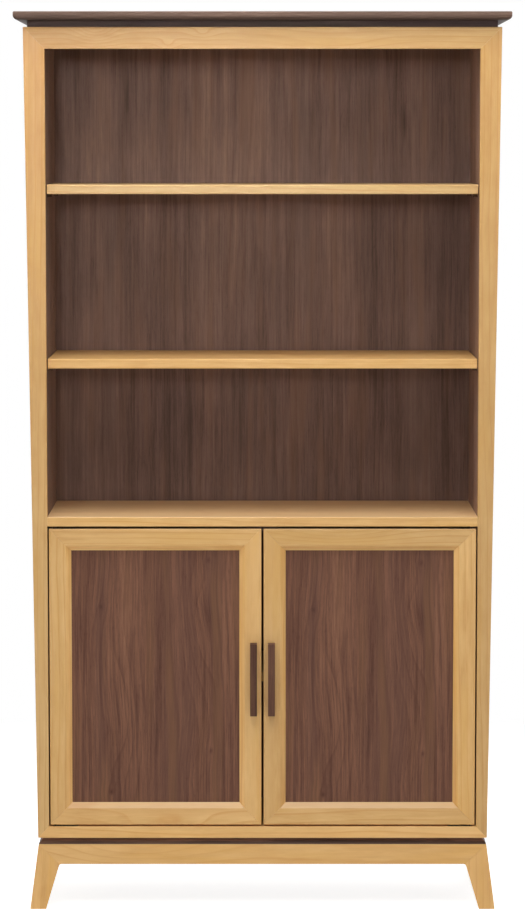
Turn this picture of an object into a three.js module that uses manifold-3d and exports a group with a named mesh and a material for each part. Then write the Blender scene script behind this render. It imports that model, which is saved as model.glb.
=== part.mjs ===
// A tall bookcase: three open bays over a cabinet with two inset doors.
// Millimetres, +Z up, the front faces -Y. The origin is on the floor, under the middle of the bookcase.
import * as THREE from "three";
import { mergeVertices } from "three/addons/utils/BufferGeometryUtils.js";
import Module from "manifold-3d";

const wasm = await Module();
wasm.setup();

// Heights, stacked from the floor to the top
const baseHeight = 135.5;
const baseSpacerHeight = 13;
const bottomRailHeight = 24;
const doorOpeningHeight = 618;
const shelfThickness = 19.5;
const lowerBayHeight = 301;
const middleBayHeight = 333.5;
const upperBayHeight = 271.5;
const topRailHeight = 43.7;
const topSpacerHeight = 13.3;
const slabThickness = 17;

// Widths: the opening is upright, and the outer sides lean out towards the top
const openingWidth = 875;
const linerThickness = 9;
const sidePanelThickness = 13;
const sideWallGap = 0.5;
const sideLean = 20.75;

// Depths, from the front of the face frame to the back
const frameThickness = 20;
const frameTopEasing = 2.5;
const innerDepth = 320;
const backPanelThickness = 8;
const backRecess = 12;

// Top slab and the neck under it
const slabSideOverhang = 18.5;
const slabFrontOverhang = 20;
const slabTopEasing = 2;
const undercutWidth = 9;
const undercutHeight = 8.5;
const undercutSteps = 4;
const easingSteps = 2;
const neckSideInset = 8;
const neckFrontInset = 10;

// Boards inside the case
const caseTopThickness = 20;
const floorThickness = 19.5;
const shelfEasing = 1.2;

// Loose shelves and their pins
const shelfSetback = 20;
const shelfBehindDoor = 10;
const shelfEndGap = 1.75;
const shelfBackGap = 2;
const cabinetShelfHeight = 295.5;
const pinFrontSetback = 65;
const pinBackSetback = 47;
const pinRowSpacing = 32;
const pinRowsEachWay = 2;
const pinShankRadius = 2.5;
const pinShankLength = 7;
const pinCollarRadius = 4;
const pinCollarThickness = 1.2;
const pinNoseRadius = 3;
const pinNoseLength = 8;
const pinSides = 12;

// Doors: mitred frames with a bevel round a sunk panel
const doorSideGap = 3;
const doorMeetingGap = 4.5;
const doorBottomGap = 3.5;
const doorTopGap = 4.5;
const doorFrameWidth = 45;
const doorEdgeEasing = 1.5;
const bevelWidth = 11;
const bevelDepth = 10;
const bevelLip = 1;
const panelThickness = 6;
const panelPlay = 0.2;
const grooveDepth = 8;
const grooveBackWall = 2.6;
const panelEdgePlay = 1;

// Bar handles
const handleWidth = 14;
const handleLength = 148;
const handleBarThickness = 10;
const fingerGap = 14;
const handleFootLength = 16;
const handleFootSlope = 8;
const handleInset = 16;
const handleDrop = 2.5;

// Pivot hinges let into the ends of the doors
const pivotInset = 9.5;
const pivotSetback = 7;
const pivotPinRadius = 2;
const pivotSides = 16;
const leafLength = 52;
const leafWidth = 10;
const leafThickness = 2.5;

// Magnetic catch under the fixed shelf
const catchWidth = 64;
const catchDepth = 16;
const catchHeight = 12;
const catchLipDepth = 5;
const catchLipHeight = 3;
const catchDoorGap = 1.5;

// Base
const baseInset = 1;
const baseSpacerInset = 11;
const apronHeight = 41.5;
const apronThickness = 20;
const legTopWidth = 42.5;
const legDepth = 42;
const footSplay = 18;
const footWidth = 32.5;
const footDepth = 31.5;
const legCornerRadius = 6;
const legCornerSteps = 3;

// Fits
const glueLine = 0.2;
const runningGap = 0.3;
const overrun = 2;

// Levels
const spacerBottom = baseHeight;
const caseBottom = spacerBottom + baseSpacerHeight;
const openingBottom = caseBottom + bottomRailHeight;
const fixedShelfBottom = openingBottom + doorOpeningHeight;
const fixedShelfTop = fixedShelfBottom + shelfThickness;
const middleShelfBottom = fixedShelfTop + lowerBayHeight;
const upperShelfBottom = middleShelfBottom + shelfThickness + middleBayHeight;
const openingTop = upperShelfBottom + shelfThickness + upperBayHeight;
const caseTop = openingTop + topRailHeight;
const slabBottom = caseTop + topSpacerHeight;
const slabTop = slabBottom + slabThickness;
const cabinetShelfBottom = openingBottom + cabinetShelfHeight;
const apronBottom = baseHeight - apronHeight;

// Half widths
const openingHalf = openingWidth / 2;
const caseBottomHalf = openingHalf + linerThickness + sideWallGap + sidePanelThickness;
const caseTopHalf = caseBottomHalf + sideLean;
const slabHalf = caseTopHalf + slabSideOverhang;
const baseTopHalf = caseBottomHalf - baseInset;
const footHalf = baseTopHalf + footSplay;

// Front and back planes, with the whole depth centred on the origin
const handleReach = handleBarThickness + fingerGap;
const caseDepth = innerDepth + backPanelThickness + backRecess;
const frontReach = Math.max(slabFrontOverhang, handleReach);
const front = frontReach - (caseDepth + frontReach) / 2;
const back = front + caseDepth;
const behindFrame = front + frameThickness + glueLine;
const backPanelFront = front + innerDepth;

// Doors
const doorWidth = (openingWidth - 2 * doorSideGap - doorMeetingGap) / 2;
const doorHeight = doorOpeningHeight - doorBottomGap - doorTopGap;
const doorBottom = openingBottom + doorBottomGap;
const doorTop = doorBottom + doorHeight;
const grooveWidth = panelThickness + 2 * panelPlay;
const grooveFront = bevelDepth + bevelLip;
const doorThickness = grooveFront + grooveWidth + grooveBackWall;
const pivotHalf = openingHalf - doorSideGap - pivotInset;
const pivotDepth = front + pivotSetback;

const lightWood = new THREE.MeshStandardMaterial({ color: 0xd3a56a, roughness: 0.45, metalness: 0 });
const walnut = new THREE.MeshStandardMaterial({ color: 0x6b4a3d, roughness: 0.45, metalness: 0 });
const darkWood = new THREE.MeshStandardMaterial({ color: 0x453530, roughness: 0.5, metalness: 0 });
const steel = new THREE.MeshStandardMaterial({ color: 0x57443a, roughness: 0.4, metalness: 0.9 });
const plastic = new THREE.MeshStandardMaterial({ color: 0x5a4033, roughness: 0.6, metalness: 0 });

const LEFT = -1;
const RIGHT = 1;
const sides = [
  { sign: LEFT, word: "left" },
  { sign: RIGHT, word: "right" },
];

// Half of the outer width of the case at a height.
function caseHalf(z) {
  return caseBottomHalf + (sideLean * (z - caseBottom)) / (caseTop - caseBottom);
}

// Half of the outer width of the base at a height.
function baseHalf(z) {
  return footHalf - (footSplay * z) / baseHeight;
}

// Half of the width between the outer side panels at a height.
function wallHalf(z) {
  return caseHalf(z) - sidePanelThickness - glueLine;
}

// A block whose width and depth may change from one level to the next.
function tieredBlock(tiers) {
  const steps = tiers.length - 1;
  const geometry = new THREE.BoxGeometry(1, 1, 1, 1, 1, steps);
  const spots = geometry.attributes.position;
  for (let i = 0; i < spots.count; i += 1) {
    const tier = tiers[Math.round((spots.getZ(i) + 0.5) * steps)];
    const x = spots.getX(i) < 0 ? tier.left : tier.right;
    const y = spots.getY(i) < 0 ? tier.front : tier.back;
    spots.setXYZ(i, x, y, tier.z);
  }
  return geometry;
}

// A board centred on the width, with a half width for each of its levels.
function centredBoard(yFront, yBack, levels) {
  return tieredBlock(
    levels.map(({ z, half }) => ({ z, left: -half, right: half, front: yFront, back: yBack }))
  );
}

// A board running across, with its two front edges eased.
function nosedBoard(yFront, yBack, zBottom, zTop, half) {
  const profile = [
    [yFront, zBottom + shelfEasing],
    [yFront + shelfEasing, zBottom],
    [yBack, zBottom],
    [yBack, zTop],
    [yFront + shelfEasing, zTop],
    [yFront, zTop - shelfEasing],
  ];
  return sidePlate(profile, -half, half);
}

function outline(points) {
  return new THREE.Shape(points.map(([u, v]) => new THREE.Vector2(u, v)));
}

// A board with an outline seen from the front, running back from one depth to another.
function frontPlate(points, yFront, yBack) {
  const geometry = new THREE.ExtrudeGeometry(outline(points), { depth: yBack - yFront, bevelEnabled: false });
  geometry.rotateX(Math.PI / 2);
  geometry.translate(0, yBack, 0);
  return geometry;
}

// A board with an outline seen from the side, as depth and height, running across from one x to another.
function sidePlate(points, xStart, xEnd) {
  const geometry = new THREE.ExtrudeGeometry(outline(points), { depth: xEnd - xStart, bevelEnabled: false });
  geometry.rotateX(Math.PI / 2);
  geometry.rotateZ(Math.PI / 2);
  geometry.translate(xStart, 0, 0);
  return geometry;
}

// A plate with an outline seen from above, running up from one height to another.
function flatPlate(shape, zBottom, zTop) {
  const geometry = new THREE.ExtrudeGeometry(shape, {
    depth: zTop - zBottom,
    bevelEnabled: false,
    curveSegments: pivotSides / 2,
  });
  geometry.translate(0, 0, zBottom);
  return geometry;
}

function toSolid(geometry) {
  const bare = geometry.clone();
  bare.deleteAttribute("normal");
  bare.deleteAttribute("uv");
  const merged = mergeVertices(bare);
  return new wasm.Manifold(
    new wasm.Mesh({
      numProp: 3,
      vertProperties: merged.attributes.position.array,
      triVerts: new Uint32Array(merged.index.array),
    })
  );
}

function fromSolid(solid) {
  const mesh = solid.getMesh();
  const shared = new THREE.BufferGeometry();
  shared.setAttribute("position", new THREE.BufferAttribute(mesh.vertProperties, 3));
  shared.setIndex(new THREE.BufferAttribute(mesh.triVerts, 1));
  const faceted = shared.toNonIndexed();
  faceted.computeVertexNormals();
  return faceted;
}

function cut(geometry, cutters) {
  let solid = toSolid(geometry);
  for (const cutter of cutters) {
    solid = solid.subtract(toSolid(cutter));
  }
  return fromSolid(solid);
}

function join(geometry, other) {
  return fromSolid(toSolid(geometry).add(toSolid(other)));
}

function common(geometry, other) {
  return fromSolid(toSolid(geometry).intersect(toSolid(other)));
}

const bookcase = new THREE.Group();

function addPiece(parent, name, geometry, material) {
  const piece = new THREE.Mesh(geometry, material);
  piece.name = name;
  parent.add(piece);
  return piece;
}

// The slab's front and end edges are eased above and rounded under, and its back edge is square.
function addTop() {
  const tiers = [];
  for (let step = 0; step <= undercutSteps; step += 1) {
    const turn = (Math.PI / 2) * (step / undercutSteps);
    const inset = undercutWidth * (1 - Math.sin(turn));
    tiers.push({ z: slabBottom + glueLine + (undercutHeight - glueLine) * (1 - Math.cos(turn)), inset });
  }
  for (let step = 0; step <= easingSteps; step += 1) {
    const turn = (Math.PI / 2) * (step / easingSteps);
    const inset = slabTopEasing * (1 - Math.cos(turn));
    tiers.push({ z: slabTop - slabTopEasing * (1 - Math.sin(turn)), inset });
  }
  const slab = tieredBlock(
    tiers.map(({ z, inset }) => ({
      z,
      left: inset - slabHalf,
      right: slabHalf - inset,
      front: front - slabFrontOverhang + inset,
      back,
    }))
  );
  addPiece(bookcase, "top_slab", slab, walnut);

  const neckHalf = caseTopHalf - neckSideInset;
  const neck = centredBoard(front + neckFrontInset, back, [
    { z: caseTop + glueLine, half: neckHalf },
    { z: slabBottom, half: neckHalf },
  ]);
  addPiece(bookcase, "top_spacer", neck, darkWood);
}

// The face frame is mitred from each corner of the opening to the corner of the case.
// Its top edge is eased.
function addFaceFrame() {
  const bottom = caseBottom + glueLine;
  const frameBack = front + frameThickness;
  const section = [
    [front, bottom],
    [frameBack, bottom],
    [frameBack, caseTop],
  ];
  for (let step = 0; step <= easingSteps; step += 1) {
    const turn = (Math.PI / 2) * (step / easingSteps);
    section.push([
      front + frameTopEasing * (1 - Math.sin(turn)),
      caseTop - frameTopEasing * (1 - Math.cos(turn)),
    ]);
  }
  const envelope = sidePlate(section, -caseTopHalf - overrun, caseTopHalf + overrun);
  for (const { sign, word } of sides) {
    const points = [
      [sign * openingHalf, openingBottom],
      [sign * caseHalf(bottom), bottom],
      [sign * caseTopHalf, caseTop],
      [sign * openingHalf, openingTop],
    ];
    const stile = common(frontPlate(points, front - overrun, frameBack + overrun), envelope);
    addPiece(bookcase, `frame_stile_${word}`, stile, lightWood);
  }
  const topRail = [
    [-openingHalf + glueLine, openingTop],
    [openingHalf - glueLine, openingTop],
    [caseTopHalf - glueLine, caseTop],
    [-caseTopHalf + glueLine, caseTop],
  ];
  const railOutline = frontPlate(topRail, front - overrun, frameBack + overrun);
  addPiece(bookcase, "frame_top_rail", common(railOutline, envelope), lightWood);
  const bottomRail = [
    [-caseHalf(bottom) + glueLine, bottom],
    [caseHalf(bottom) - glueLine, bottom],
    [openingHalf - glueLine, openingBottom],
    [-openingHalf + glueLine, openingBottom],
  ];
  const pockets = sides.map(({ sign }) => leafPocket(sign, openingBottom - leafThickness, openingBottom));
  const railBoard = cut(frontPlate(bottomRail, front, frameBack), pockets);
  addPiece(bookcase, "frame_bottom_rail", railBoard, lightWood);
}

// Each side is a canted outer panel and an upright inner lining with rows of holes for the shelf pins.
function addSides() {
  const bottom = caseBottom + glueLine;
  for (const { sign, word } of sides) {
    const levels = [bottom, caseTop];
    const panel = tieredBlock(
      levels.map((z) => {
        const edges = [sign * caseHalf(z), sign * (caseHalf(z) - sidePanelThickness)];
        return { z, left: Math.min(...edges), right: Math.max(...edges), front: behindFrame, back };
      })
    );
    addPiece(bookcase, `side_panel_${word}`, panel, lightWood);

    const faces = [sign * openingHalf, sign * (openingHalf + linerThickness)];
    const left = Math.min(...faces);
    const right = Math.max(...faces);
    const lining = { left, right, front: behindFrame, back: backPanelFront - glueLine };
    const board = tieredBlock([
      { ...lining, z: bottom },
      { ...lining, z: caseTop - caseTopThickness - glueLine },
    ]);
    addPiece(bookcase, `side_liner_${word}`, cut(board, pinHoles(sign)), walnut);
  }
}

const looseShelves = [
  { name: "shelf_upper", bottom: upperShelfBottom, setback: shelfSetback },
  { name: "shelf_middle", bottom: middleShelfBottom, setback: shelfSetback },
  { name: "cabinet_shelf", bottom: cabinetShelfBottom, setback: doorThickness + shelfBehindDoor },
];
const pinColumns = [
  { word: "front", y: front + pinFrontSetback },
  { word: "back", y: backPanelFront - pinBackSetback },
];

function pinHeight(shelfBottom) {
  return shelfBottom - pinNoseRadius - runningGap;
}

// A round bar along X between two places.
function crossBar(radius, xStart, xEnd, y, z) {
  const bar = new THREE.CylinderGeometry(radius, radius, Math.abs(xEnd - xStart), pinSides);
  bar.rotateZ(Math.PI / 2);
  bar.translate((xStart + xEnd) / 2, y, z);
  return bar;
}

function pinHoles(sign) {
  const mouth = sign * (openingHalf - overrun);
  const end = sign * (openingHalf + pinShankLength + runningGap);
  const holes = [];
  for (const shelf of looseShelves) {
    for (const { y } of pinColumns) {
      for (let row = -pinRowsEachWay; row <= pinRowsEachWay; row += 1) {
        const z = pinHeight(shelf.bottom) + row * pinRowSpacing;
        holes.push(crossBar(pinShankRadius + runningGap, mouth, end, y, z));
      }
    }
  }
  return holes;
}

// A pin has a shank in the lining, a thin collar against it, and a nose that the shelf rests on.
function shelfPin() {
  const collarStart = glueLine;
  const collarEnd = collarStart + pinCollarThickness;
  const profile = [
    [0, -pinShankLength],
    [pinShankRadius, -pinShankLength],
    [pinShankRadius, collarStart],
    [pinCollarRadius, collarStart],
    [pinCollarRadius, collarEnd],
    [pinNoseRadius, collarEnd],
    [pinNoseRadius, collarEnd + pinNoseLength],
    [0, collarEnd + pinNoseLength],
  ];
  return new THREE.LatheGeometry(
    profile.map(([radius, along]) => new THREE.Vector2(radius, along)),
    pinSides
  );
}

function addShelves() {
  const half = openingHalf - shelfEndGap;
  for (const shelf of looseShelves) {
    const shelfFront = front + shelf.setback;
    const shelfBack = backPanelFront - shelfBackGap;
    const board = nosedBoard(shelfFront, shelfBack, shelf.bottom, shelf.bottom + shelfThickness, half);
    addPiece(bookcase, shelf.name, board, lightWood);
    for (const { sign, word } of sides) {
      for (const column of pinColumns) {
        const pin = addPiece(bookcase, `${shelf.name}_pin_${word}_${column.word}`, shelfPin(), steel);
        pin.position.set(sign * openingHalf, column.y, pinHeight(shelf.bottom));
        pin.rotation.z = (sign * Math.PI) / 2;
      }
    }
  }
}

// The fixed shelf runs through between the stiles and carries the upper hinge leaves and the catch.
function addFixedBoards() {
  const half = openingHalf - glueLine;
  const boardBack = backPanelFront - glueLine;
  const pockets = sides.map(({ sign }) =>
    leafPocket(sign, fixedShelfBottom, fixedShelfBottom + leafThickness)
  );
  const shelf = nosedBoard(front, boardBack, fixedShelfBottom, fixedShelfTop, half);
  addPiece(bookcase, "fixed_shelf", cut(shelf, pockets), lightWood);

  const floorBottom = caseBottom + glueLine;
  const floor = centredBoard(behindFrame, boardBack, [
    { z: floorBottom, half },
    { z: floorBottom + floorThickness, half },
  ]);
  addPiece(bookcase, "cabinet_floor", floor, lightWood);

  const ceiling = caseTop - caseTopThickness;
  const topBoard = centredBoard(behindFrame, boardBack, [
    { z: ceiling, half: wallHalf(ceiling) },
    { z: caseTop, half: wallHalf(caseTop) },
  ]);
  addPiece(bookcase, "case_top", topBoard, lightWood);

  const panel = centredBoard(backPanelFront, backPanelFront + backPanelThickness, [
    { z: floorBottom, half: wallHalf(floorBottom) },
    { z: caseTop, half: wallHalf(caseTop) },
  ]);
  addPiece(bookcase, "back_panel", panel, walnut);
}

// The catch is a box with a thin lip along the top of its front, under the fixed shelf.
function addCatch() {
  const top = fixedShelfBottom - glueLine;
  const face = front + doorThickness + catchDoorGap;
  const profile = [
    [face, top],
    [face + catchDepth, top],
    [face + catchDepth, top - catchLipHeight],
    [face + catchDepth - catchLipDepth, top - catchHeight],
    [face, top - catchHeight],
  ];
  addPiece(bookcase, "door_catch", sidePlate(profile, -catchWidth / 2, catchWidth / 2), plastic);
}

// The leaf's outline from above: rounded at both ends, with its pivot at the outer end.
function leafShape(sign, margin) {
  const radius = leafWidth / 2 + margin;
  const inward = leafLength - leafWidth;
  const xStart = sign * pivotHalf;
  const xEnd = sign * (pivotHalf - inward);
  const [low, high] = [Math.min(xStart, xEnd), Math.max(xStart, xEnd)];
  const shape = new THREE.Shape();
  shape.absarc(low, pivotDepth, radius, Math.PI / 2, (3 * Math.PI) / 2, false);
  shape.absarc(high, pivotDepth, radius, -Math.PI / 2, Math.PI / 2, false);
  return shape;
}

// The pocket is open on the side where the leaf's face shows, so it runs a glue line past the other side.
function leafPocket(sign, zLow, zHigh) {
  return flatPlate(leafShape(sign, glueLine), zLow - glueLine, zHigh + glueLine);
}

function pivotPin(sign, zLow, zHigh) {
  const pin = new THREE.CylinderGeometry(pivotPinRadius, pivotPinRadius, zHigh - zLow, pivotSides);
  pin.rotateX(Math.PI / 2);
  pin.translate(sign * pivotHalf, pivotDepth, (zLow + zHigh) / 2);
  return pin;
}

// The case leaves carry the pins, which stand in the holes of the door leaves.
function addCaseLeaves() {
  const lowReach = doorBottomGap + leafThickness - runningGap;
  const highReach = doorTopGap + leafThickness - runningGap;
  for (const { sign, word } of sides) {
    const lowPlate = flatPlate(leafShape(sign, 0), openingBottom - leafThickness, openingBottom);
    const lowPin = pivotPin(sign, openingBottom - leafThickness, openingBottom + lowReach);
    addPiece(bookcase, `case_hinge_leaf_${word}_lower`, join(lowPlate, lowPin), steel);

    const highPlate = flatPlate(leafShape(sign, 0), fixedShelfBottom, fixedShelfBottom + leafThickness);
    const highPin = pivotPin(sign, fixedShelfBottom - highReach, fixedShelfBottom + leafThickness);
    addPiece(bookcase, `case_hinge_leaf_${word}_upper`, join(highPlate, highPin), steel);
  }
}

// One member of a door frame along Z: x runs in from its outer edge, y back from its face, ends mitred.
function doorMember(length) {
  const section = outline([
    [0, doorEdgeEasing],
    [doorEdgeEasing, 0],
    [doorFrameWidth - bevelWidth, 0],
    [doorFrameWidth, bevelDepth],
    [doorFrameWidth, grooveFront],
    [doorFrameWidth - grooveDepth, grooveFront],
    [doorFrameWidth - grooveDepth, grooveFront + grooveWidth],
    [doorFrameWidth, grooveFront + grooveWidth],
    [doorFrameWidth, doorThickness],
    [0, doorThickness],
  ]);
  const geometry = new THREE.ExtrudeGeometry(section, { depth: 1, bevelEnabled: false });
  const spots = geometry.attributes.position;
  for (let i = 0; i < spots.count; i += 1) {
    const reach = length / 2 - spots.getX(i) - glueLine / 2;
    spots.setZ(i, spots.getZ(i) > 0.5 ? reach : -reach);
  }
  return geometry;
}

// A bar with two feet, cut out behind for the fingers.
function handleProfile(zMiddle) {
  const low = zMiddle - handleLength / 2;
  const high = zMiddle + handleLength / 2;
  const seat = front - glueLine;
  const barBack = seat - fingerGap;
  const innerFoot = handleFootLength + handleFootSlope;
  return [
    [seat, low],
    [seat, low + handleFootLength],
    [barBack, low + innerFoot],
    [barBack, high - innerFoot],
    [seat, high - handleFootLength],
    [seat, high],
    [front - handleReach, high],
    [front - handleReach, low],
  ];
}

function addDoor(sign, word) {
  const hinge = new THREE.Group();
  const door = new THREE.Group();
  hinge.position.set(sign * pivotHalf, pivotDepth, 0);
  door.position.set(-sign * pivotHalf, -pivotDepth, 0);
  hinge.add(door);
  bookcase.add(hinge);
  const prefix = `door_${word}`;
  const hingeEdge = openingHalf - doorSideGap;
  const meetingEdge = hingeEdge - doorWidth;
  const middle = (hingeEdge + meetingEdge) / 2;
  const zMiddle = (doorBottom + doorTop) / 2;
  const handleHeight = zMiddle - handleDrop;
  const upright = sign < 0 ? 0 : Math.PI;

  const hingeStile = addPiece(door, `${prefix}_hinge_stile`, doorMember(doorHeight), lightWood);
  hingeStile.position.set(sign * hingeEdge, front, zMiddle);
  hingeStile.rotation.y = upright;
  const meetingStile = addPiece(door, `${prefix}_meeting_stile`, doorMember(doorHeight), lightWood);
  meetingStile.position.set(sign * meetingEdge, front, zMiddle);
  meetingStile.rotation.y = Math.PI - upright;

  const topRail = doorMember(doorWidth).rotateY(Math.PI / 2).translate(sign * middle, front, doorTop);
  const topPocket = leafPocket(sign, doorTop - leafThickness, doorTop);
  addPiece(door, `${prefix}_top_rail`, cut(topRail, [topPocket]), lightWood);
  const bottomRail = doorMember(doorWidth).rotateY(-Math.PI / 2).translate(sign * middle, front, doorBottom);
  const bottomPocket = leafPocket(sign, doorBottom, doorBottom + leafThickness);
  addPiece(door, `${prefix}_bottom_rail`, cut(bottomRail, [bottomPocket]), lightWood);

  const panelReach = doorFrameWidth - grooveDepth + panelEdgePlay;
  const panelFront = front + grooveFront + panelPlay;
  const panel = tieredBlock(
    [doorBottom + panelReach, doorTop - panelReach].map((z) => ({
      z,
      left: sign * middle - doorWidth / 2 + panelReach,
      right: sign * middle + doorWidth / 2 - panelReach,
      front: panelFront,
      back: panelFront + panelThickness,
    }))
  );
  addPiece(door, `${prefix}_panel`, panel, walnut);

  const handleMiddle = sign * (meetingEdge + handleInset);
  const handle = sidePlate(
    handleProfile(handleHeight),
    handleMiddle - handleWidth / 2,
    handleMiddle + handleWidth / 2
  );
  addPiece(door, `${prefix}_handle`, handle, walnut);

  const pinHole = new THREE.Path();
  pinHole.absarc(sign * pivotHalf, pivotDepth, pivotPinRadius + runningGap, 0, 2 * Math.PI, false);
  const drilledLeaf = leafShape(sign, 0);
  drilledLeaf.holes.push(pinHole);
  const lowLeaf = flatPlate(drilledLeaf, doorBottom, doorBottom + leafThickness);
  addPiece(door, `${prefix}_hinge_leaf_lower`, lowLeaf, steel);
  const highLeaf = flatPlate(drilledLeaf, doorTop - leafThickness, doorTop);
  addPiece(door, `${prefix}_hinge_leaf_upper`, highLeaf, steel);
}

// The rounded corner between a leg and an apron, from one angle about its centre to another.
const cornerHalf = baseTopHalf - legTopWidth;
const splayAngle = Math.atan2(footHalf - footWidth - cornerHalf, apronBottom);
const mitreAngle = (splayAngle + Math.PI / 2) / 2;

function cornerCurve(sign, fromAngle, toAngle) {
  const reach = legCornerRadius / Math.tan(mitreAngle);
  const points = [];
  for (let step = 0; step <= legCornerSteps; step += 1) {
    const angle = fromAngle + (toAngle - fromAngle) * (step / legCornerSteps);
    points.push([
      sign * (cornerHalf - reach + legCornerRadius * Math.cos(angle)),
      apronBottom - legCornerRadius * (1 - Math.sin(angle)),
    ]);
  }
  return points;
}

// A splayed leg: mitred to the front apron above, and tapered to the foot in both directions.
function leg(sign, end) {
  const legTop = baseHeight - glueLine;
  const face = [
    [sign * (footHalf - footWidth), 0],
    [sign * footHalf, 0],
    [sign * baseHalf(legTop), legTop],
    [sign * (cornerHalf + glueLine), apronBottom],
    ...cornerCurve(sign, mitreAngle - glueLine / legCornerRadius, splayAngle),
  ];
  const edge = end.y;
  const inward = end.inward;
  const flank = [
    [edge, 0],
    [edge + inward * footDepth, 0],
    [edge + inward * legDepth, apronBottom],
    [edge + inward * legDepth, baseHeight],
    [edge, baseHeight],
  ];
  const beyond = footHalf + overrun;
  const far = edge + inward * (legDepth + overrun);
  const near = edge - inward * overrun;
  return common(
    frontPlate(face, Math.min(near, far), Math.max(near, far)),
    sidePlate(flank, -beyond, beyond)
  );
}

function addBase() {
  const ends = [
    { word: "front", y: front, inward: 1 },
    { word: "back", y: back, inward: -1 },
  ];
  for (const end of ends) {
    for (const { sign, word } of sides) {
      addPiece(bookcase, `leg_${word}_${end.word}`, leg(sign, end), lightWood);
    }
    const points = [
      [-cornerHalf, apronBottom],
      ...cornerCurve(LEFT, mitreAngle, Math.PI / 2),
      ...cornerCurve(RIGHT, Math.PI / 2, mitreAngle),
      [cornerHalf, apronBottom],
      [baseTopHalf, baseHeight],
      [-baseTopHalf, baseHeight],
    ];
    const inner = end.y + end.inward * apronThickness;
    const board = frontPlate(points, Math.min(end.y, inner), Math.max(end.y, inner));
    addPiece(bookcase, `apron_${end.word}`, board, lightWood);
  }
  for (const { sign, word } of sides) {
    const board = tieredBlock(
      [apronBottom, baseHeight].map((z) => {
        const edges = [sign * baseHalf(z), sign * (baseHalf(z) - apronThickness)];
        return {
          z,
          left: Math.min(...edges),
          right: Math.max(...edges),
          front: front + legDepth + glueLine,
          back: back - legDepth - glueLine,
        };
      })
    );
    addPiece(bookcase, `apron_${word}`, board, lightWood);
  }
  const spacerTopHalf = caseBottomHalf - baseSpacerInset;
  const spacer = tieredBlock([
    { z: spacerBottom + glueLine, left: -baseTopHalf, right: baseTopHalf, front, back },
    { z: caseBottom, left: -spacerTopHalf, right: spacerTopHalf, front: front + baseSpacerInset, back },
  ]);
  addPiece(bookcase, "base_spacer", spacer, darkWood);
}

addTop();
addFaceFrame();
addSides();
addFixedBoards();
addShelves();
addCatch();
addCaseLeaves();
for (const { sign, word } of sides) {
  addDoor(sign, word);
}
addBase();

export default bookcase;
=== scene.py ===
"""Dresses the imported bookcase: camera, studio, wood and metal materials, eased edges and small fittings.

Lengths are metres. X runs to the right as seen from the front, Y to the back, and Z up from the floor.
"""

import math

import bpy
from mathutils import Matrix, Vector


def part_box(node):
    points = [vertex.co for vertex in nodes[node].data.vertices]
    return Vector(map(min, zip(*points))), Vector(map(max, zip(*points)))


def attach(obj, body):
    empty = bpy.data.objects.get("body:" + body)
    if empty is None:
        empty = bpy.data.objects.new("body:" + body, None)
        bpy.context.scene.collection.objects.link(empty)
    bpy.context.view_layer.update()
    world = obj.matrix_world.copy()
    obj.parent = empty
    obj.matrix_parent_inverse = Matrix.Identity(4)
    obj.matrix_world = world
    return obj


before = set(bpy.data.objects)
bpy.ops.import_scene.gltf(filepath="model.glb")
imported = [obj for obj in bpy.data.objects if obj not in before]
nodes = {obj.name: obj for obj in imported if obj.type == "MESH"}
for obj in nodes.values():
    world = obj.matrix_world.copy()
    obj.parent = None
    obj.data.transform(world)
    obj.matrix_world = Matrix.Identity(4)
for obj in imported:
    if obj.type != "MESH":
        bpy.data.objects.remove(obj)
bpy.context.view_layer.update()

MM = 0.001


# Camera

CAMERA_DISTANCE = 6.860  # in front of the bookcase's middle
CAMERA_HEIGHT = 1.552
CAMERA_TILT = 5.296  # degrees below level
SENSOR_HEIGHT = 36  # mm
LENS = 130.4  # mm

camera_data = bpy.data.cameras.new("camera")
camera_data.sensor_fit = "VERTICAL"
camera_data.sensor_height = SENSOR_HEIGHT
camera_data.lens = LENS
camera = bpy.data.objects.new("camera", camera_data)
camera.location = (0, -CAMERA_DISTANCE, CAMERA_HEIGHT)
camera.rotation_euler = (math.radians(90 - CAMERA_TILT), 0, 0)
bpy.context.scene.collection.objects.link(camera)
bpy.context.scene.camera = camera
bpy.context.scene.view_settings.view_transform = "Standard"


# Node trees

MIX_A, MIX_B, MIX_RESULT = 6, 7, 2  # sockets of a Mix node that mixes colours
RAMP_MARGIN = 0.05  # from each end of a colour ramp to its first and last stop
EDGE_SAMPLES = 4
EDGE_TURN = (0.02, 0.25)  # 1 minus the cosine of the surface's turn where an edge begins and where it is full


def linear(red, green, blue):
    """The linear colour, with alpha, of a colour given in 0 to 255 as a screen shows it."""
    return tuple(
        c / 12.92 if c <= 0.04045 else ((c + 0.055) / 1.055) ** 2.4
        for c in (red / 255, green / 255, blue / 255)
    ) + (1.0,)


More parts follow.
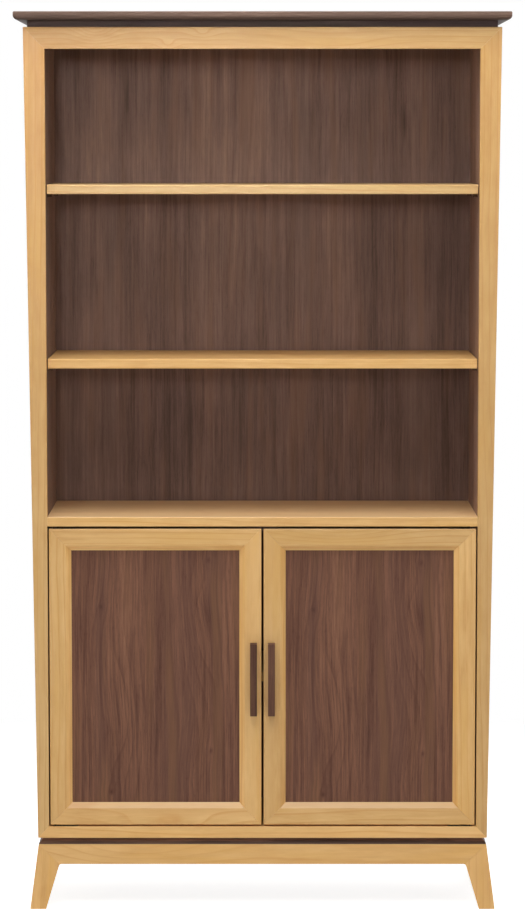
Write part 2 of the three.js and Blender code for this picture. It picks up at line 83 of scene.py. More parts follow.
class Graph:
    """The node tree of a material or of the world, with short calls for the nodes used here."""

    def __init__(self, owner):
        owner.use_nodes = True
        self.tree = owner.node_tree
        self.tree.nodes.clear()

    def put(self, kind, inputs=None, **settings):
        node = self.tree.nodes.new("ShaderNode" + kind)
        for name, value in settings.items():
            setattr(node, name, value)
        for key, value in (inputs or {}).items():
            socket = node.inputs[key]
            if isinstance(value, bpy.types.NodeSocket):
                self.tree.links.new(value, socket)
            else:
                socket.default_value = value
        return node

    def math(self, operation, a, b=0.0):
        return self.put("Math", {0: a, 1: b}, operation=operation).outputs[0]

    def vector(self, operation, a, b=(0, 0, 0)):
        return self.put("VectorMath", {0: a, 1: b}, operation=operation).outputs[0]

    def dot(self, a, b):
        return self.put("VectorMath", {0: a, 1: b}, operation="DOT_PRODUCT").outputs["Value"]

    def length(self, vector):
        return self.put("VectorMath", {0: vector}, operation="LENGTH").outputs["Value"]

    def combine(self, x, y, z):
        return self.put("CombineXYZ", {0: x, 1: y, 2: z}).outputs[0]

    def separate(self, vector):
        return self.put("SeparateXYZ", {0: vector}).outputs

    def noise(self, vector, octaves=2.0, roughness=0.5):
        inputs = {"Vector": vector, "Scale": 1.0, "Detail": octaves, "Roughness": roughness}
        return self.put("TexNoise", inputs)

    def stretch(self, vector, scale, offset=(0, 0, 0)):
        return self.vector("ADD", self.vector("MULTIPLY", vector, scale), offset)

    def centred(self, value, amount):
        """Noise about zero: it runs from minus to plus the amount."""
        return self.math("MULTIPLY", self.math("SUBTRACT", value, 0.5), 2 * amount)

    def step(self, value, low, high, to_low=0.0, to_high=1.0):
        inputs = {0: value, 1: low, 2: high, 3: to_low, 4: to_high}
        return self.put("MapRange", inputs, interpolation_type="SMOOTHSTEP").outputs[0]

    def mix(self, factor, a, b, blend="MIX"):
        inputs = {0: factor, MIX_A: a, MIX_B: b}
        return self.put("Mix", inputs, data_type="RGBA", blend_type=blend).outputs[MIX_RESULT]

    def ramp(self, value, dark, middle, light):
        """From the dark colour near 0 through the middle one at 0.5 to the light one near 1."""
        node = self.put("ValToRGB", {0: value})
        first, last = node.color_ramp.elements
        first.position, first.color = RAMP_MARGIN, dark
        last.position, last.color = 1 - RAMP_MARGIN, light
        node.color_ramp.elements.new(0.5).color = middle
        return node.outputs[0]

    def blob(self, across, along, place, size):
        """1 at a place, fading to 0 over its width and its length."""
        dx = self.math("DIVIDE", self.math("SUBTRACT", across, place[0]), size[0])
        dz = self.math("DIVIDE", self.math("SUBTRACT", along, place[1]), size[1])
        reach = self.math("ADD", self.math("MULTIPLY", dx, dx), self.math("MULTIPLY", dz, dz))
        return self.math("EXPONENT", self.math("MULTIPLY", reach, -1.0))

    def edge(self, radius):
        """1 on an outer or inner edge, falling to 0 away from it."""
        smooth = self.put("Bevel", {0: radius}, samples=EDGE_SAMPLES).outputs[0]
        flat = self.put("NewGeometry").outputs["Normal"]
        return self.step(self.math("SUBTRACT", 1.0, self.dot(smooth, flat)), *EDGE_TURN)

    def seen(self):
        """1 for what the camera sees, also in a mirror or through glass, and 0 for what only lights."""
        path = self.put("LightPath").outputs
        mirrored = self.math("MAXIMUM", path["Is Camera Ray"], path["Is Glossy Ray"])
        return self.math("MAXIMUM", mirrored, path["Is Transmission Ray"])

    def surface(self, colour, rough, height, strength, depth, others):
        """Ends the tree in a surface with fine relief. Others are further inputs of its shader."""
        bump = self.put("Bump", {"Strength": strength, "Distance": depth, "Height": height}).outputs[0]
        inputs = {"Base Color": colour, "Roughness": rough, "Normal": bump, **others}
        self.output(self.put("BsdfPrincipled", inputs).outputs[0])

    def output(self, shader):
        self.put("OutputMaterial", {0: shader})


# Studio

WHITE = (1, 1, 1, 1)
FLOOR_SIZE = 60
FLOOR_DROP = 0.2 * MM  # keeps the floor's face clear of the feet's
FLOOR_COLOUR = (0.80, 0.80, 0.80, 1)
FLOOR_GLOW = 0.86  # brings the lit floor up to white for the camera
SHADOW_NEAR, SHADOW_FAR = 0.9, 2.2  # from here to there the floor fades into the white backdrop
WORLD_LIGHT = 0.165
NO_GRID = 180  # degrees
# name: (place, place aimed at, width, height, watts, spread in degrees)
LAMPS = {
    "key": ((-0.64, -6.96, 2.36), (-0.12, -0.16, 1.90), 0.45, 1.05, 2.05, 20),
    "low_front": ((0, -6.0, 0.5), (0, 0, 0.25), 2.4, 0.5, 0.85, 24),
    "high": ((-0.3, -3.4, 3.9), (0, -0.2, 0.9), 2.4, 1.2, 50, NO_GRID),
    "steep": ((0, -1.9, 3.9), (0, -0.2, 0.7), 2.4, 0.8, 22, NO_GRID),
    "overhead": ((-0.2, -0.95, 3.9), (0, -0.2, 0.8), 2.6, 1.2, 66, NO_GRID),
    "left_fill": ((-4.2, -3.6, 1.6), (0, 0, 1.0), 2.0, 2.4, 14, NO_GRID),
    "right_fill": ((3.6, -4.0, 1.6), (0, 0, 1.0), 2.0, 2.4, 16, NO_GRID),
    "back_fill": ((0.5, 4.5, 3.2), (0, 0, 0.9), 3.0, 2.4, 60, NO_GRID),
}


def studio_world():
    world = bpy.data.worlds.new("studio")
    bpy.context.scene.world = world
    g = Graph(world)
    light = g.put("Background", {0: WHITE, 1: WORLD_LIGHT}).outputs[0]
    white = g.put("Background", {0: WHITE, 1: 1.0}).outputs[0]
    both = g.put("MixShader", {0: g.seen(), 1: light, 2: white}).outputs[0]
    g.put("OutputWorld", {0: both})


def studio_floor():
    material = bpy.data.materials.new("floor")
    g = Graph(material)
    lit = g.put("BsdfDiffuse", {0: FLOOR_COLOUR}).outputs[0]
    glow = g.put("Emission", {0: WHITE, 1: FLOOR_GLOW}).outputs[0]
    bright = g.put("AddShader", {0: lit, 1: glow}).outputs[0]
    away = g.length(g.put("TexCoord").outputs["Object"])
    white = g.put("Emission", {0: WHITE, 1: 1.0}).outputs[0]
    bright = g.put("MixShader", {0: g.step(away, SHADOW_NEAR, SHADOW_FAR), 1: bright, 2: white}).outputs[0]
    g.output(g.put("MixShader", {0: g.seen(), 1: lit, 2: bright}).outputs[0])
    mesh = bpy.data.meshes.new("floor")
    h = FLOOR_SIZE / 2
    z = -FLOOR_DROP
    mesh.from_pydata([(-h, -h, z), (h, -h, z), (h, h, z), (-h, h, z)], [], [(0, 1, 2, 3)])
    mesh.materials.append(material)
    floor = bpy.data.objects.new("floor", mesh)
    bpy.context.scene.collection.objects.link(floor)


def area_lamp(name, place, target, width, height, watts, spread):
    """A softbox; a spread below 180 degrees is a grid that narrows its beam."""
    data = bpy.data.lights.new(name, "AREA")
    data.shape = "RECTANGLE"
    data.size = width
    data.size_y = height
    data.energy = watts
    data.spread = math.radians(spread)
    lamp = bpy.data.objects.new(name, data)
    lamp.location = place
    lamp.rotation_euler = (Vector(target) - Vector(place)).to_track_quat("-Z", "Y").to_euler()
    bpy.context.scene.collection.objects.link(lamp)


studio_world()
studio_floor()
for name, lamp in LAMPS.items():
    area_lamp(name, *lamp)


# Kinds of wood: colours, spacing of the rings, reach of the streaks' waver and ripple, and strengths

WALNUT = {
    "dark": linear(70, 43, 34),
    "middle": linear(110, 75, 59),
    "light": linear(145, 104, 80),
    "grey": linear(100, 70, 59),
    "warm": linear(124, 88, 61),
    "line": linear(78, 48, 37),
    "spacing": 9.0 * MM,
    "waver": 10 * MM,
    "ripple": 1.9 * MM,
    "rings": 0.06,
    "lines": 0.18,
    "broad": 0.25,
    "narrow": 0.26,
    "fine": 0.28,
    "fibres": 0.24,
    "clouds": 0.20,
    "mottle": 0.10,
    "pores": 0.175,
    "edge_wear_and_highlight": 0.4,
    "roughness": 0.48,
    "shine": 0.12,
}
LIGHT_WOOD = {
    "dark": linear(186, 133, 70),
    "middle": linear(211, 167, 105),
    "light": linear(231, 192, 132),
    "grey": linear(214, 169, 110),
    "warm": linear(211, 163, 88),
    "line": linear(194, 132, 62),
    "spacing": 12.0 * MM,
    "waver": 30 * MM,
    "ripple": 5 * MM,
    "rings": 0.06,
    "lines": 0.38,
    "broad": 0.11,
    "narrow": 0.08,
    "fine": 0.08,
    "fibres": 0.11,
    "clouds": 0.24,
    "mottle": 0.22,
    "pores": 0.07,
    "edge_wear_and_highlight": 0.6,
    "roughness": 0.36,
    "shine": 0.30,
}
# A paler copy of the light wood for the upper shelf: painted sheen of the key light near the top.
LIGHT_WOOD_PAINTED_SHEEN = dict(
    LIGHT_WOOD,
    dark=linear(186, 143, 88),
    middle=linear(207, 171, 115),
    light=linear(226, 196, 143),
    grey=linear(208, 172, 122),
    warm=linear(207, 168, 104),
)
PANEL_WALNUT = dict(
    WALNUT,
    spacing=8.0 * MM,
    lines=0.24,
    broad=0.32,
    narrow=0.24,
    fine=0.24,
)
GREY_WALNUT = dict(
    WALNUT,
    dark=linear(72, 54, 46),
    middle=linear(104, 82, 71),
    light=linear(134, 108, 94),
    grey=linear(92, 76, 68),
    warm=linear(108, 84, 68),
)
BACK_WALNUT = dict(
    WALNUT,
    dark=linear(65, 49, 42),
    middle=linear(98, 77, 68),
    light=linear(124, 99, 84),
    grey=linear(94, 76, 67),
    warm=linear(106, 80, 64),
    ripple=1.4 * MM,
    broad=0.32,
    narrow=0.22,
    fine=0.20,
    clouds=0.26,
    mottle=0.12,
)
# A lighter, greyer walnut for the linings: painted sheen that the walls show at a grazing view.
LINER_WALNUT_PAINTED_SHEEN = dict(
    GREY_WALNUT,
    dark=linear(70, 56, 50),
    middle=linear(105, 86, 77),
    light=linear(132, 110, 99),
)
# A walnut darkened for the neck under the slab: painted shade.
NECK_WALNUT_PAINTED_SHADE = dict(
    WALNUT,
    dark=linear(36, 26, 24),
    middle=linear(53, 40, 37),
    light=linear(70, 54, 49),
    grey=linear(50, 42, 41),
    warm=linear(54, 42, 34),
    line=linear(30, 22, 20),
)
# A walnut for the base spacer under the case, with a near-black dark end that the painted shade at its bottom
# reaches.
BASE_WALNUT_PAINTED_SHADE = dict(
    WALNUT,
    dark=linear(38, 25, 18),
    middle=linear(86, 62, 50),
    light=linear(108, 80, 64),
    grey=linear(80, 60, 50),
    warm=linear(86, 62, 46),
    line=linear(50, 34, 26),
)


# Wood

AXES = {"x": 0, "y": 1, "z": 2}
SEED_STEP = (1.37, 0.71, 2.13)  # how far apart boards with neighbouring seeds lie in the noise
# Scales are in noise cells per metre, here across, deep and along.
WAVER_SCALE = (7, 7, 1.6)
RIPPLE_SCALE = (26, 26, 8)
WAVER_OCTAVES = 1.5
# name: (scale across and deep, scale along, octaves, roughness of the octaves, offset)
NOISES = {
    "broad": (48, 1.6, 2.0, 0.55, (0, 0, 0)),
    "narrow": (190, 5, 1.0, 0.5, (0, 0, 0)),
    "fine": (470, 11, 1.0, 0.5, (0, 0, 0)),
    "fibres": (1100, 30, 2.0, 0.6, (0, 0, 0)),
    "pores": (1700, 75, 1.0, 0.5, (0, 0, 0)),
    "clouds": (14, 3.5, 2.0, 0.5, (0, 0, 0)),
    "mottle": (70, 16, 2.0, 0.5, (0, 0, 0)),
    "grey": (26, 1.1, 1.0, 0.5, (9, 9, 9)),
    "warm": (38, 3.0, 1.0, 0.5, (5, 2, 7)),
    "wear_and_highlight": (40, 40, 3.0, 0.5, (0, 0, 0)),
}
# The values of its noise between which each of these begins and is full
PORE_STEP = (0.60, 0.72)
GREY_STEP = (0.45, 0.75)
WARM_STEP = (0.48, 0.72)
LINE_STEP = (0.35, 0.6)
WEAR_AND_HIGHLIGHT_STEP = (0.35, 0.7)
TINT = 0.45  # strength of the grey and warm patches
FAINTEST_LINE = 0.25  # as a share of the strongest
LEAST_WEAR_AND_HIGHLIGHT = 0.3  # as a share of the strongest
EDGE_WEAR_AND_HIGHLIGHT_REACH = 1.6 * MM  # how far from an edge the wood is lighter, partly by wear and partly by a painted highlight

PITH_DEPTH = 90 * MM  # place of the log's heart, along the axis that the board's face looks along
LOG_TAPER = 0.012  # growth of the rings' radius along the grain
LATE_RISE, LATE_FALL = (0.15, 0.85), (0.88, 1.0)  # shares of a ring over which its late wood darkens and ends
LINE_RISE, LINE_FALL = (0.70, 0.92), (0.93, 1.0)  # the same for the thin line at the end of a ring
LATE_SHARE = 0.4  # of a ring, on average
KNOT_REACH, KNOT_HEART = (4.0, 6.5), (1.1, 1.7)  # across and along, in sizes of the knot
KNOT_PUSH = 0.35  # how far the streaks go round a knot, as a share of their distance from it
KNOT_DARKNESS = 0.30

GLOSS_VARIATION = 0.05
PORE_ROUGHNESS = 0.12
FIBRE_HEIGHT, PORE_DEPTH = 0.3, 0.7  # shares of the relief's depth
RELIEF_STRENGTH, RELIEF_DEPTH = 0.35, 0.12 * MM
PAINTED_SHEEN = linear(226, 192, 152)  # the painted sheen, pale, that faces which look up fade to


def wood_noise(g, place, kind):
    wide, long, octaves, roughness, offset = NOISES[kind]
    return g.noise(g.stretch(place, (wide, wide, long), offset), octaves, roughness).outputs["Fac"]


def figured(g, across, along, bends, knots):
    """Pushes the streaks sideways at each bend and round each knot, and gives the knots' dark hearts too."""
    for at, top, bottom, push, reach in bends:
        way = g.step(along, bottom, top, 1.0, 0.0)
        off = g.math("DIVIDE", g.math("SUBTRACT", across, at), reach)
        bump = g.math("EXPONENT", g.math("MULTIPLY", g.math("MULTIPLY", off, off), -1.0))
        across = g.math("SUBTRACT", across, g.math("MULTIPLY", g.math("MULTIPLY", bump, way), push))
    hearts = 0.0
    for at, up, size in knots:
        off = g.math("SUBTRACT", across, at)
        near = g.blob(across, along, (at, up), [share * size for share in KNOT_REACH])
        heart = g.blob(across, along, (at, up), [share * size for share in KNOT_HEART])
        across = g.math("SUBTRACT", across, g.math("MULTIPLY", near, g.math("MULTIPLY", off, KNOT_PUSH)))
        hearts = g.math("ADD", hearts, heart)
    return across, hearts


def wavering(g, place, species):
    """The place, moved so that the streaks waver slowly and ripple a little."""
    moved = place
    for scale, reach in ((WAVER_SCALE, species["waver"]), (RIPPLE_SCALE, species["ripple"])):
        push = g.noise(g.stretch(place, scale), WAVER_OCTAVES).outputs["Color"]
        push = g.vector("MULTIPLY", g.vector("SUBTRACT", push, (0.5, 0.5, 0.5)), (reach, reach, 0))
        moved = g.vector("ADD", moved, push)
    return moved


def growth_rings(g, place, pith, across, along, spacing, swirls):
    """Rings as cylinders about the log's pith: the late wood of each, and the thin line at its end."""
    radius = g.length(g.vector("MULTIPLY", g.vector("SUBTRACT", place, pith), (1, 1, 0)))
    radius = g.math("ADD", radius, g.math("MULTIPLY", along, LOG_TAPER))
    for at, up, wide, long, rise in swirls:
        near = g.blob(across, along, (at, up), (wide, long))
        radius = g.math("ADD", radius, g.math("MULTIPLY", near, rise))
    phase = g.math("FRACT", g.math("DIVIDE", radius, spacing))
    late = g.math("MULTIPLY", g.step(phase, *LATE_RISE), g.step(phase, *LATE_FALL, 1.0, 0.0))
    line = g.math("MULTIPLY", g.step(phase, *LINE_RISE), g.step(phase, *LINE_FALL, 1.0, 0.0))
    return late, line


def paint_light_by_slope(g, colour, slope):
    """Paints light and shade: brightens faces by how far they look sideways, up and down, and fades those
    that look up to a painted sheen.
    """
    sideways, upward, downward, sheen_share = slope
    normal = g.separate(g.put("TexCoord").outputs["Normal"])
    looks_up = g.math("MAXIMUM", normal["Z"], 0.0)
    side = g.math("MULTIPLY", g.math("ABSOLUTE", normal["X"]), sideways)
    up = g.math("MULTIPLY", looks_up, upward)
    down = g.math("MULTIPLY", g.math("MINIMUM", normal["Z"], 0.0), -downward)
    change = g.math("ADD", g.math("ADD", 1.0, side), g.math("ADD", up, down))
    colour = g.mix(1.0, colour, g.combine(change, change, change), "MULTIPLY")
    return g.mix(g.math("MULTIPLY", looks_up, sheen_share), colour, PAINTED_SHEEN)


def wood_colour(g, species, value, line, noises, wear_and_highlight):
    """The colour for a brightness of 0 to 1, with grey and warm patches, ring lines, and edges lighter partly
    by wear and partly by a painted highlight.
    """
    colour = g.ramp(value, species["dark"], species["middle"], species["light"])
    colour = g.mix(g.step(noises["grey"], *GREY_STEP, 0.0, TINT), colour, species["grey"])
    colour = g.mix(g.step(noises["warm"], *WARM_STEP, 0.0, TINT), colour, species["warm"])
    strongest = species["lines"]
    patchy = g.step(noises["clouds"], *LINE_STEP, FAINTEST_LINE * strongest, strongest)
    colour = g.mix(g.math("MULTIPLY", line, patchy), colour, species["line"])
    # Edges are lighter, partly by wear and partly by a painted highlight where they catch the light.
    edge_breakup = g.step(wear_and_highlight, *WEAR_AND_HIGHLIGHT_STEP, LEAST_WEAR_AND_HIGHLIGHT, 1.0)
    edge_wear_and_highlight = g.math("MULTIPLY", g.math("MULTIPLY", g.edge(EDGE_WEAR_AND_HIGHLIGHT_REACH), edge_breakup), species["edge_wear_and_highlight"])
    return g.mix(edge_wear_and_highlight, colour, species["light"])


def wood(
    name, species, grain, face, seed, tone, bends=(), knots=(), marks=(), swirls=(), slope=None, shift=(0, 0)
):
    """A solid wood material: the grain runs along one axis and the board's broad side faces another.

    The tone multiplies the brightness and partly paints light and shade, and the slope's four shares paint
    light, shade and a sheen by the way a face looks. Places are (across, along) from the shift. Bends are
    (across, top, bottom, push, reach), knots (across, along, size), marks (across, along, width, length,
    change of brightness), some of which paint light and shade, and swirls, round which the rings go, (across,
    along, width, length, rise).
    """
    material = bpy.data.materials.new(name)
    g = Graph(material)
    xyz = g.separate(g.put("TexCoord").outputs["Object"])
    other = ({"x", "y", "z"} - {grain, face}).pop()
    across = g.math("SUBTRACT", xyz[AXES[other]], shift[0])
    along = g.math("SUBTRACT", xyz[AXES[grain]], shift[1])
    across, hearts = figured(g, across, along, bends, knots)
    offset = [seed * step for step in SEED_STEP]
    still = g.vector("ADD", g.combine(across, xyz[AXES[face]], along), offset)
    place = wavering(g, still, species)
    pith = (offset[0], offset[1] + PITH_DEPTH, 0)
    late, line = growth_rings(g, place, pith, across, along, species["spacing"], swirls)
    noises = {kind: wood_noise(g, place, kind) for kind in NOISES if kind != "wear_and_highlight"}
    pores = g.step(noises["pores"], *PORE_STEP)

    value = 0.5
    for kind in ("broad", "narrow", "fine", "fibres"):
        value = g.math("ADD", value, g.centred(noises[kind], species[kind]))
    late = g.math("MULTIPLY", g.math("SUBTRACT", late, LATE_SHARE), species["rings"])
    value = g.math("SUBTRACT", value, late)
    for kind in ("clouds", "mottle"):
        value = g.math("ADD", value, g.centred(noises[kind], species[kind]))
    value = g.math("SUBTRACT", value, g.math("MULTIPLY", pores, species["pores"]))
    value = g.math("SUBTRACT", value, g.math("MULTIPLY", hearts, KNOT_DARKNESS))
    # Marks: streaks and flecks of the wood, and on some boards painted light and shade.
    for at, up, wide, long, change in marks:
        near = g.blob(across, along, (at, up), (wide, long))
        value = g.math("ADD", value, g.math("MULTIPLY", near, change))

    colour = wood_colour(g, species, value, line, noises, wood_noise(g, still, "wear_and_highlight"))
    # The tone, fitted to the lit brightness, partly paints light and shade.
    colour = g.mix(1.0, colour, (tone, tone, tone, 1), "MULTIPLY")
    if slope:
        colour = paint_light_by_slope(g, colour, slope)
    rough = g.math("ADD", species["roughness"], g.centred(noises["clouds"], GLOSS_VARIATION))
    rough = g.math("ADD", rough, g.math("MULTIPLY", pores, PORE_ROUGHNESS))
    raised = g.math("MULTIPLY", noises["fibres"], FIBRE_HEIGHT)
    height = g.math("SUBTRACT", raised, g.math("MULTIPLY", pores, PORE_DEPTH))
    others = {"Specular IOR Level": species["shine"]}
    g.surface(colour, rough, height, RELIEF_STRENGTH, RELIEF_DEPTH, others)
    return material


# Boards

EASING = 0.5 * MM
WELD_REACH = 0.002 * MM
EASED_ANGLE = 28  # degrees; flatter edges of a board stay as they are
EASING_SEGMENTS = 2
# The stiles' and the slab's edges are eased a little more than the rest.
EASINGS = {"frame_stile_left": 0.8 * MM, "frame_stile_right": 0.8 * MM, "top_slab": 0.6 * MM}
# name: (species, grain, face, seed, tone that brings the board's brightness to the photo's)
# That brightness is lit, so the tones partly paint light and shade: painted shade darkens the top rail, and
# painted light brightens the bottom rail, the front legs and apron, the spacers, the back panel and the
# linings, the right lining most.
BOARDS = {
    "top_slab": (GREY_WALNUT, "x", "z", 1, 1.00),
    "top_spacer": (NECK_WALNUT_PAINTED_SHADE, "x", "z", 2, 2.10),
    "case_top": (LIGHT_WOOD, "x", "z", 3, 1.0),
    "frame_stile_left": (LIGHT_WOOD, "z", "y", 4, 0.92),
    "frame_stile_right": (LIGHT_WOOD, "z", "y", 5, 0.90),
    "frame_top_rail": (LIGHT_WOOD, "x", "y", 6, 0.83),
    "frame_bottom_rail": (LIGHT_WOOD, "x", "y", 7, 1.15),
    "side_panel_left": (LIGHT_WOOD, "z", "x", 8, 1.0),
    "side_panel_right": (LIGHT_WOOD, "z", "x", 9, 1.0),
    "side_liner_left": (LINER_WALNUT_PAINTED_SHEEN, "z", "x", 10, 1.50),
    "side_liner_right": (LINER_WALNUT_PAINTED_SHEEN, "z", "x", 11, 2.25),
    "fixed_shelf": (LIGHT_WOOD, "x", "z", 12, 1.07),
    "cabinet_floor": (LIGHT_WOOD, "x", "z", 13, 1.0),
    "back_panel": (BACK_WALNUT, "z", "y", 14, 1.56),
    "shelf_upper": (LIGHT_WOOD_PAINTED_SHEEN, "x", "z", 15, 0.93),
    "shelf_middle": (LIGHT_WOOD, "x", "z", 16, 1.05),
    "cabinet_shelf": (LIGHT_WOOD, "x", "z", 17, 1.0),
    "base_spacer": (BASE_WALNUT_PAINTED_SHADE, "x", "y", 18, 2.85),
    "apron_front": (LIGHT_WOOD, "x", "y", 19, 1.10),
    "apron_back": (LIGHT_WOOD, "x", "y", 20, 1.0),
    "apron_left": (LIGHT_WOOD, "y", "x", 21, 1.0),
    "apron_right": (LIGHT_WOOD, "y", "x", 22, 1.0),
    "leg_left_front": (LIGHT_WOOD, "z", "y", 23, 1.14),
    "leg_right_front": (LIGHT_WOOD, "z", "y", 24, 1.12),
    "leg_left_back": (LIGHT_WOOD, "z", "y", 25, 1.0),
    "leg_right_back": (LIGHT_WOOD, "z", "y", 26, 1.0),
    "door_left_hinge_stile": (LIGHT_WOOD, "z", "y", 27, 1.0),
    "door_left_meeting_stile": (LIGHT_WOOD, "z", "y", 28, 1.05),
    "door_left_top_rail": (LIGHT_WOOD, "x", "y", 29, 1.0),
    "door_left_bottom_rail": (LIGHT_WOOD, "x", "y", 30, 1.06),
    "door_right_hinge_stile": (LIGHT_WOOD, "z", "y", 31, 1.06),
    "door_right_meeting_stile": (LIGHT_WOOD, "z", "y", 32, 0.96),
    "door_right_top_rail": (LIGHT_WOOD, "x", "y", 33, 0.92),
    "door_right_bottom_rail": (LIGHT_WOOD, "x", "y", 34, 1.0),
    "door_left_handle": (WALNUT, "z", "y", 35, 0.57),
    "door_right_handle": (WALNUT, "z", "y", 36, 0.75),
}

# The two door panels share this figure, measured from a panel's middle. On the right one it lies a little
# lower and further to the left.
PANEL_SEED = 40
PANEL_TONE = 0.97
PANEL_NUDGES = {"left": (0, 0), "right": (-3 * MM, -6 * MM)}
PANEL_BENDS = (
    (0.095, 0.190, 0.040, 0.015, 0.040),
    (-0.080, 0.020, -0.130, 0.009, 0.045),
    (0.070, -0.060, -0.230, -0.008, 0.050),
    (-0.110, 0.250, 0.140, -0.005, 0.040),
)
PANEL_MARKS = (
    (-0.035, 0.06, 0.030, 0.24, 0.12),
    (0.098, 0.135, 0.010, 0.045, -0.20),
    (0.115, 0.02, 0.020, 0.15, -0.08),
    (-0.095, -0.19, 0.028, 0.09, -0.12),
    (0.030, -0.15, 0.015, 0.12, -0.08),
    (0.060, -0.02, 0.006, 0.05, 0.14),
)
PANEL_SWIRLS = (
    (0.080, 0.090, 0.030, 0.110, 0.015),
    (-0.070, -0.070, 0.030, 0.120, 0.014),
    (-0.110, 0.200, 0.020, 0.080, 0.009),
)
PANEL_KNOTS = (
    (-0.107, 0.144, 3.5 * MM),
    (0.104, -0.154, 3.5 * MM),
    (-0.095, -0.239, 3.5 * MM),
    (0.109, 0.240, 3.5 * MM),
)
PANEL_FIGURE = {"bends": PANEL_BENDS, "knots": PANEL_KNOTS, "marks": PANEL_MARKS, "swirls": PANEL_SWIRLS}

# Lighter and darker marks, many of them painted light and shade. The back panel has broad stripes that run
# behind all the bays, partly its veneer's streaks and partly painted light, a stretch of painted light above,
# a stretch of painted shade below, and dark flecks. The left lining has painted light towards the back and
# painted shade at the front, and the right one painted light at the top. The base spacer has painted shade at
# the bottom and painted light at the top. Both stiles have painted shade at the top, and the left one painted
# light at the bottom. The top rail is darker at its left end.
LONG = 3.0
spacer_low, spacer_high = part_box("base_spacer")
MARKS_AND_PAINTED_LIGHT = {
    "back_panel": (
        (-0.350, 1.3, 0.035, LONG, 0.10),
        (-0.280, 1.3, 0.030, LONG, -0.08),
        (-0.200, 1.3, 0.020, LONG, -0.06),
        (-0.120, 1.3, 0.028, LONG, 0.09),
        (0.225, 1.3, 0.026, LONG, -0.07),
        (0.285, 1.3, 0.018, LONG, -0.12),
        (0.320, 1.3, 0.014, LONG, 0.07),
        (0.390, 1.3, 0.030, LONG, -0.12),
        (-0.10, 1.55, 0.30, 0.14, 0.10),
        (0.0, 0.97, 0.33, 0.26, -0.22),
        (-0.285, 1.660, 0.004, 0.035, -0.28),
        (-0.160, 1.640, 0.005, 0.030, -0.20),
        (0.298, 1.610, 0.004, 0.035, -0.35),
        (0.310, 1.560, 0.004, 0.060, -0.20),
    ),
    "side_liner_left": ((0.12, 1.2, 0.11, LONG, 0.30), (-0.16, 1.2, 0.05, LONG, -0.15)),
    "side_liner_right": ((0.0, 1.62, 1.0, 0.15, 0.16),),
    "base_spacer": ((spacer_low.z, 0.0, 0.007, LONG, -0.55), (spacer_high.z, 0.0, 0.004, LONG, 0.15)),
    "frame_stile_left": ((-0.47, 1.70, 1.0, 0.35, -0.35), (-0.45, 0.30, 1.0, 0.35, 0.20)),
    "frame_stile_right": ((0.47, 1.70, 1.0, 0.35, -0.12),),
    "frame_top_rail": ((1.78, -0.40, 1.0, 0.30, -0.28),),
}
# Rings go round a knot just above the edge of the top rail, and round others on it, on two door rails, on the
# front apron and on the fixed shelf.
SWIRLS = {
    "frame_top_rail": (
        (1.800, -0.335, 0.032, 0.036, 0.040),
        (1.762, -0.190, 0.012, 0.022, 0.016),
        (1.785, -0.120, 0.010, 0.026, 0.014),
        (1.760, 0.140, 0.025, 0.100, 0.022),
    ),
    "door_left_bottom_rail": ((0.176, -0.20, 0.030, 0.10, 0.030),),
    "door_right_top_rail": ((0.786, 0.16, 0.030, 0.12, 0.030),),
    "apron_front": ((0.135, -0.25, 0.040, 0.16, 0.035),),
    "fixed_shelf": ((0.0, 0.20, 0.10, 0.25, 0.05),),
}
# Painted light, shade and sheen: shares by which faces that look sideways, up and down are brighter, and by
# which those that look up fade to the painted sheen. On the door frames and their bevels they paint light and
# shade, under the slab painted shade, and on the fixed shelf's top a painted sheen.
DOOR_PAINTED_LIGHT = (0.26, -0.26, 0.38, 0.20)
PAINTED_SLOPE_LIGHT = {"top_slab": (0.0, 0.0, -0.52, 0.0), "fixed_shelf": (0.0, 0.0, 0.0, 0.50)}


def paint(name, material):
    for slot in nodes[name].material_slots:
        slot.material = material


def round_edges(piece, width, angle):
    """Rounds the edges that turn by more than an angle in degrees."""
    bevel = piece.modifiers.new("ease", "BEVEL")
    bevel.width = width
    bevel.segments = EASING_SEGMENTS
    bevel.limit_method = "ANGLE"
    bevel.angle_limit = math.radians(angle)


def ease(name, width):
    """Rounds a CAD node's sharp edges."""
    weld = nodes[name].modifiers.new("weld", "WELD")
    weld.merge_threshold = WELD_REACH
    round_edges(nodes[name], width, EASED_ANGLE)


for name, board in BOARDS.items():
    is_door_frame = name.startswith("door_") and "handle" not in name
    # Painted light, shade and sheen by the way each face looks
    slope = DOOR_PAINTED_LIGHT if is_door_frame else PAINTED_SLOPE_LIGHT.get(name)
    marks = MARKS_AND_PAINTED_LIGHT.get(name, ())
    swirls = SWIRLS.get(name, ())
    paint(name, wood("wood_" + name, *board, marks=marks, swirls=swirls, slope=slope))
    ease(name, EASINGS.get(name, EASING))
for side, nudge in PANEL_NUDGES.items():
    name = f"door_{side}_panel"
    low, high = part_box(name)
    middle = ((low.x + high.x) / 2 + nudge[0], (low.z + high.z) / 2 + nudge[1])
    panel = wood("wood_" + name, PANEL_WALNUT, "z", "y", PANEL_SEED, PANEL_TONE, shift=middle, **PANEL_FIGURE)
    paint(name, panel)


# Metal and plastic

STEEL_CLEAN, STEEL_STAINED = linear(98, 76, 62), linear(74, 57, 47)
STEEL_BRUSHING = (300, 300, 6000)
STEEL_STAINS = (120, 120, 120)
STAIN_STEP = (0.4, 0.75)
STEEL_ROUGHNESS, STEEL_ROUGHNESS_VARIATION = 0.28, 0.10
STEEL_RELIEF = (0.2, 0.03 * MM)  # strength, depth

PLASTIC_LIGHT, PLASTIC_DARK = linear(92, 66, 50), linear(78, 55, 42)
PLASTIC_GRAIN = (2500, 2500, 2500)
PLASTIC_FLOW = (60, 60, 60)
PLASTIC_ROUGHNESS, PLASTIC_ROUGHNESS_VARIATION = 0.5, 0.1
PLASTIC_RELIEF = (0.3, 0.05 * MM)  # strength, depth


